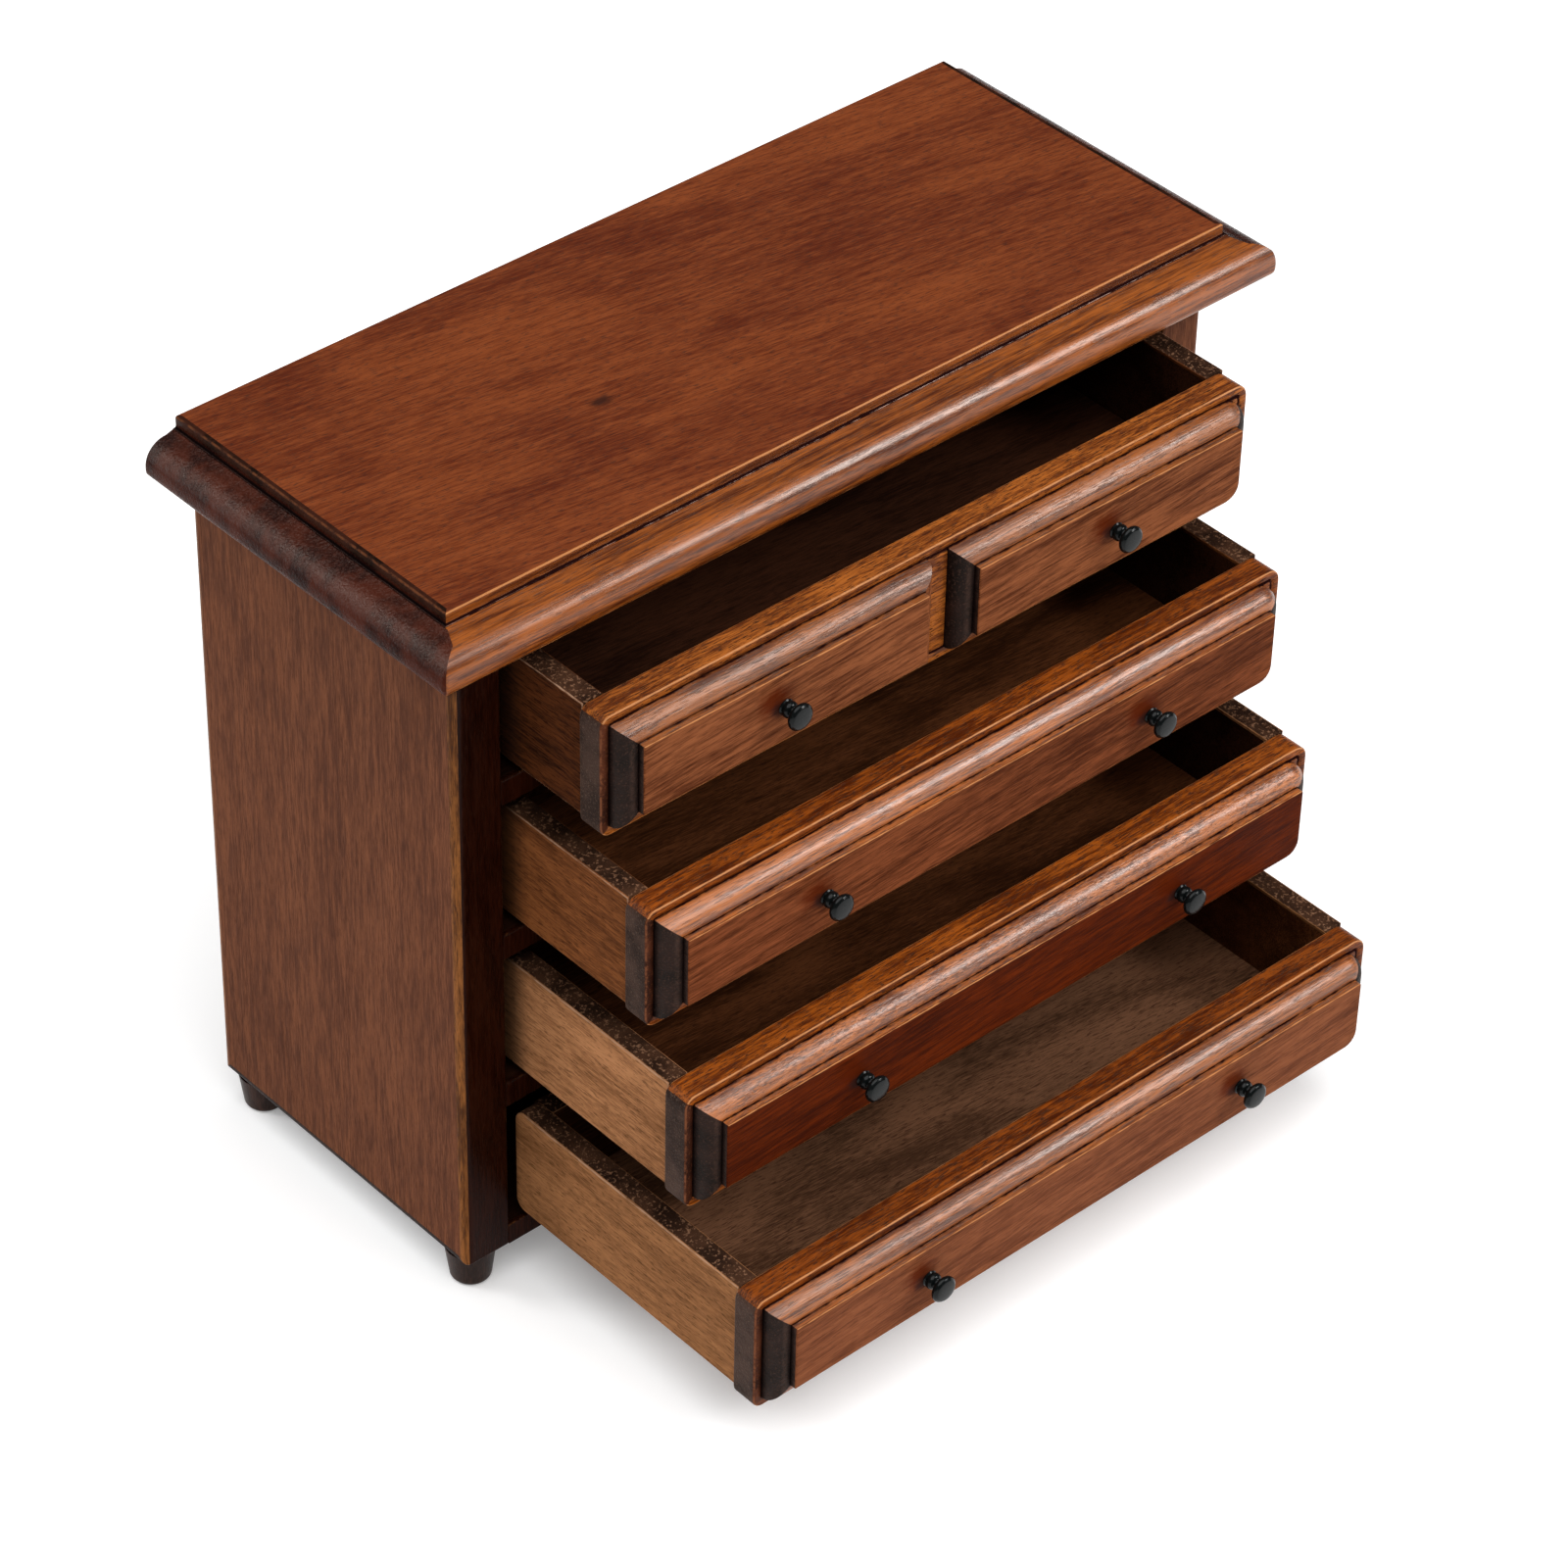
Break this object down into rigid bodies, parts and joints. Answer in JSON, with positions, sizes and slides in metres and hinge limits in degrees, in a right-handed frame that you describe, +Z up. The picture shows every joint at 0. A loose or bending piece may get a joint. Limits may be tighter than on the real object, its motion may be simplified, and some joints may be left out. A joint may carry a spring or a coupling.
{
  "type": "miniature chest of drawers",
  "caption": "Dolls' house chest of drawers in stained wood: a moulded top board, a case with shelves and turned feet, and drawers with raised fronts and small black knobs that slide out.",
  "frame": {"origin": "middle of the whole object's footprint at rest, on the plane that the feet stand on", "axes": "+X to the right along the width, +Y from the drawer fronts to the back, +Z up"},
  "size_m": [0.0882, 0.0664, 0.0719],
  "materials": {
    "walnut_top": "satin varnish over red-brown stain",
    "walnut_case": "satin varnish over dark red-brown stain",
    "walnut_front": "satin varnish over golden brown stain, darker in the grooves",
    "tan_side": "matt, lightly stained",
    "walnut_inside": "matt brown stain",
    "dark_foot": "satin varnish over dark stain",
    "black_knob": "gloss black paint"
  },
  "bodies": {
    "case": {"top_board": "walnut_top", "side_panel_left": "walnut_case", "side_panel_right": "walnut_case", "back_panel": "walnut_case", "bottom_board": "walnut_case", "divider_upper": "walnut_case", "divider_middle": "walnut_case", "divider_lower": "walnut_case", "top_rail": "walnut_case", "foot_front_left": "dark_foot", "foot_front_right": "dark_foot", "foot_rear_left": "dark_foot", "foot_rear_right": "dark_foot"},
    "drawer_1": {"drawer_1_front": "walnut_front", "drawer_1_side_left": "tan_side", "drawer_1_side_right": "tan_side", "drawer_1_back": "walnut_inside", "drawer_1_bottom": "walnut_inside", "drawer_1_knob_left": "black_knob", "drawer_1_knob_right": "black_knob"},
    "drawer_2": {"drawer_2_front": "walnut_front", "drawer_2_side_left": "tan_side", "drawer_2_side_right": "tan_side", "drawer_2_back": "walnut_inside", "drawer_2_bottom": "walnut_inside", "drawer_2_knob_left": "black_knob", "drawer_2_knob_right": "black_knob"},
    "drawer_3": {"drawer_3_front": "walnut_front", "drawer_3_side_left": "tan_side", "drawer_3_side_right": "tan_side", "drawer_3_back": "walnut_inside", "drawer_3_bottom": "walnut_inside", "drawer_3_knob_left": "black_knob", "drawer_3_knob_right": "black_knob"},
    "drawer_4": {"drawer_4_front": "walnut_front", "drawer_4_side_left": "tan_side", "drawer_4_side_right": "tan_side", "drawer_4_back": "walnut_inside", "drawer_4_bottom": "walnut_inside", "drawer_4_knob_left": "black_knob", "drawer_4_knob_right": "black_knob"}
  },
  "joints": [
    {"name": "drawer_1_slide", "type": "slide", "parent": "case", "child": "drawer_1", "axis": [0, -1, 0], "range_m": [-0.0107, 0.0186]},
    {"name": "drawer_2_slide", "type": "slide", "parent": "case", "child": "drawer_2", "axis": [0, -1, 0], "range_m": [-0.016, 0.0133]},
    {"name": "drawer_3_slide", "type": "slide", "parent": "case", "child": "drawer_3", "axis": [0, -1, 0], "range_m": [-0.0208, 0.0085]},
    {"name": "drawer_4_slide", "type": "slide", "parent": "case", "child": "drawer_4", "axis": [0, -1, 0], "range_m": [-0.0293, 0]}
  ]
}
